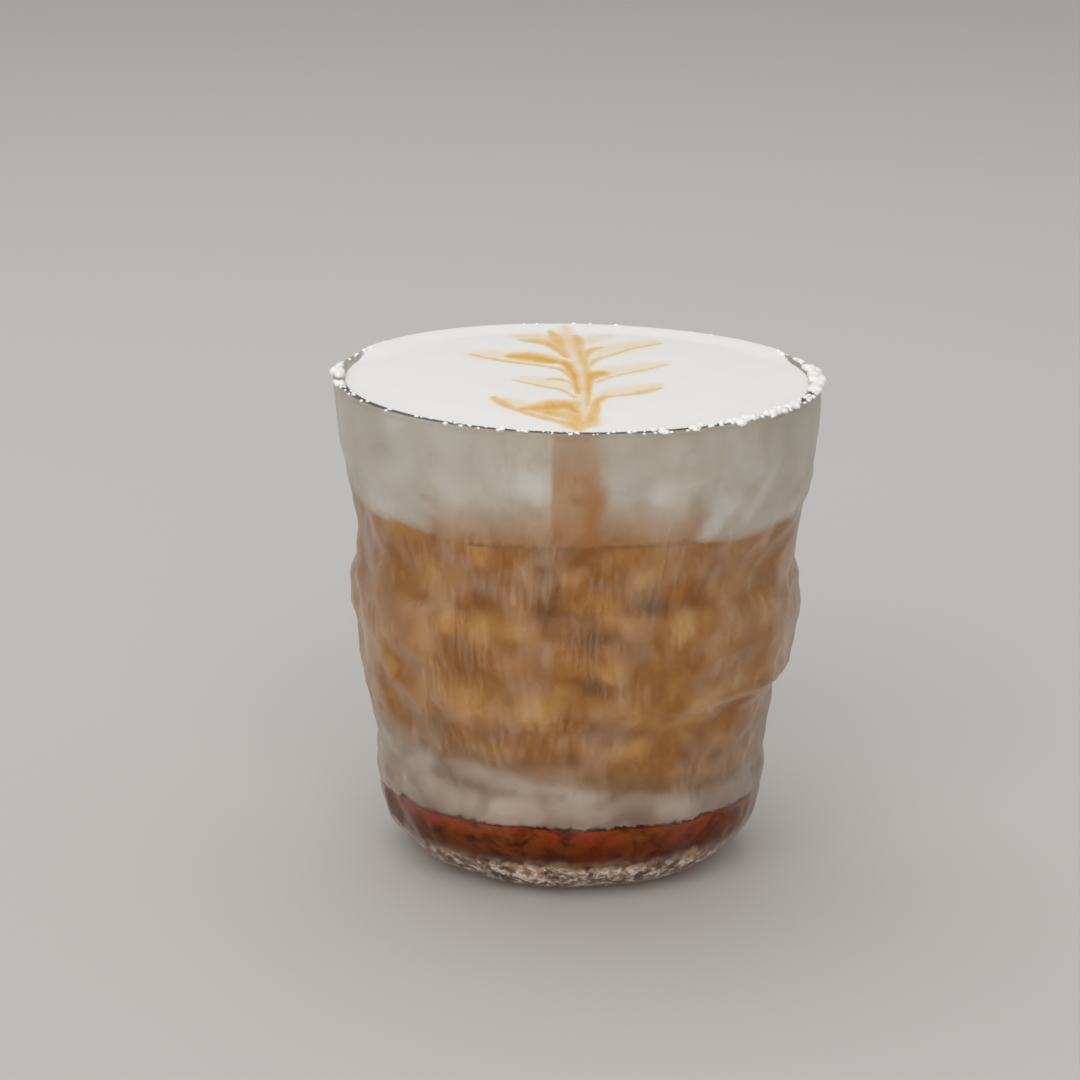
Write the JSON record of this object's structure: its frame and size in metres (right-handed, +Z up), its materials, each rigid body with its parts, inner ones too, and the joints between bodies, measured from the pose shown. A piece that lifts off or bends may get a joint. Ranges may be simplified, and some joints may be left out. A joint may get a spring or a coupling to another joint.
{
  "type": "layered iced latte in a hammered glass",
  "caption": "Iced latte in a hammered glass tumbler: syrup, milk, coffee and a domed milk foam in layers, with a caramel feather drawn on top.",
  "frame": {"origin": "centre of the flat foot, on the surface the glass stands on", "axes": "+Z up; -Y is the front, where the feather's stem meets the lip"},
  "size_m": [0.0838, 0.0838, 0.0857],
  "materials": {
    "glass": "hammered and finely frosted",
    "syrup": "clear dark syrup",
    "milk": "milk seen through frosted glass",
    "coffee": "milky coffee, blotched by the hammered glass",
    "foam": "fine matt milk foam"
  },
  "bodies": {
    "root": {"tumbler": "glass", "syrup": "syrup", "milk": "milk", "coffee": "coffee", "foam": "foam"}
  },
  "joints": []
}
